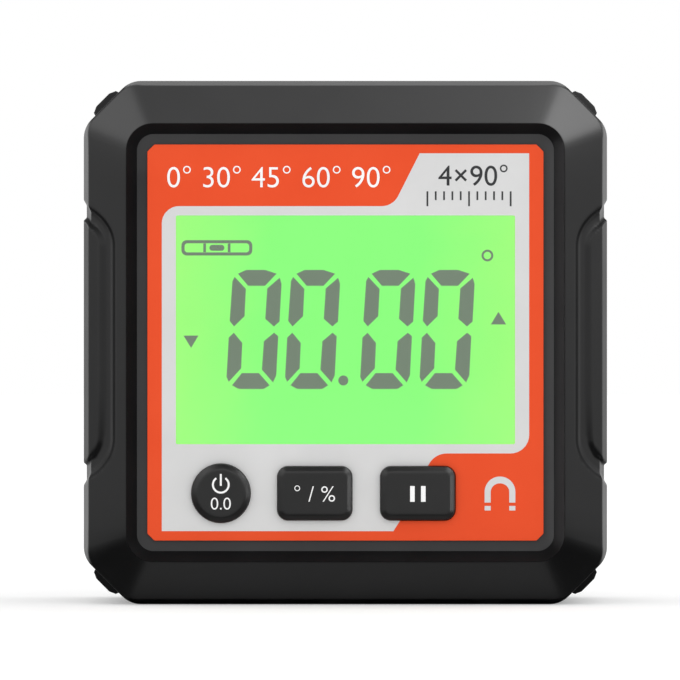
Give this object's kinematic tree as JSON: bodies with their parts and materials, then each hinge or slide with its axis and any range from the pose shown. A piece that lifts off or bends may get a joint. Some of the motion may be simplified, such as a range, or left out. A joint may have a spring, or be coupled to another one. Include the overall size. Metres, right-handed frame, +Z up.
{
  "type": "digital angle gauge",
  "caption": "Square battery-powered box that shows its own tilt on a lit display, with press buttons, side grips and a magnetic V-groove base.",
  "frame": {"origin": "middle of the base, on the plane it stands on", "axes": "+Z up, -Y out of the display, +X to the right of someone who reads the display"},
  "size_m": [0.06, 0.03, 0.06],
  "materials": {
    "shell_plastic": "fine satin moulding texture",
    "key_plastic": "satin",
    "label_film": "printed matt film, orange with a light grey field",
    "clear_acrylic": "clear polished",
    "black_foam": "matt foam",
    "display_glass": "lit green liquid crystal glass",
    "white_film": "matt white",
    "white_plastic": "satin white",
    "pink_rubber": "matt silicone",
    "lamp_resin": "glossy",
    "board_laminate": "green solder mask",
    "zinc_steel": "zinc plated",
    "black_steel": "black zinc plated",
    "chip_resin": "moulded epoxy",
    "switch_plastic": "satin black",
    "cell_jacket": "plain printed jacket",
    "nickel_steel": "nickel plated",
    "nickel_magnet": "nickel plated"
  },
  "bodies": {
    "case": {"front_shell": "shell_plastic", "rear_shell": "shell_plastic", "face_label": "label_film", "display_window": "clear_acrylic", "display_gasket": "black_foam", "lcd_glass": "display_glass", "light_guide": "clear_acrylic", "reflector_sheet": "white_film", "lcd_frame": "white_plastic", "connector_strip": "pink_rubber", "left_lamp": "lamp_resin", "right_lamp": "lamp_resin", "main_board": "board_laminate", "board_screws": "zinc_steel", "controller_chip": "chip_resin", "tilt_sensor": "chip_resin", "power_switch": "switch_plastic", "unit_switch": "switch_plastic", "hold_switch": "switch_plastic", "upper_cell": "cell_jacket", "lower_cell": "cell_jacket", "positive_contact": "nickel_steel", "negative_contact": "nickel_steel", "bridge_contact": "nickel_steel", "left_spring": "nickel_steel", "right_spring": "nickel_steel", "case_screws": "black_steel", "front_left_magnet": "nickel_magnet", "front_right_magnet": "nickel_magnet", "rear_left_magnet": "nickel_magnet", "rear_right_magnet": "nickel_magnet"},
    "power_key": {"power_button": "key_plastic", "power_plunger": "white_plastic"},
    "unit_key": {"unit_button": "key_plastic", "unit_plunger": "white_plastic"},
    "hold_key": {"hold_button": "key_plastic", "hold_plunger": "white_plastic"},
    "door": {"battery_door": "shell_plastic"}
  },
  "joints": [
    {"name": "power_press", "type": "slide", "parent": "case", "child": "power_key", "axis": [0, 1, 0], "range_m": [0, 0.0004], "stiffness_N_per_m": 800},
    {"name": "unit_press", "type": "slide", "parent": "case", "child": "unit_key", "axis": [0, 1, 0], "range_m": [0, 0.0004], "stiffness_N_per_m": 800},
    {"name": "hold_press", "type": "slide", "parent": "case", "child": "hold_key", "axis": [0, 1, 0], "range_m": [0, 0.0004], "stiffness_N_per_m": 800},
    {"name": "door_hinge", "type": "hinge", "parent": "case", "child": "door", "pos_m": [0, 0.015, 0.04275], "axis": [1, 0, 0], "range_deg": [0, 60]}
  ]
}
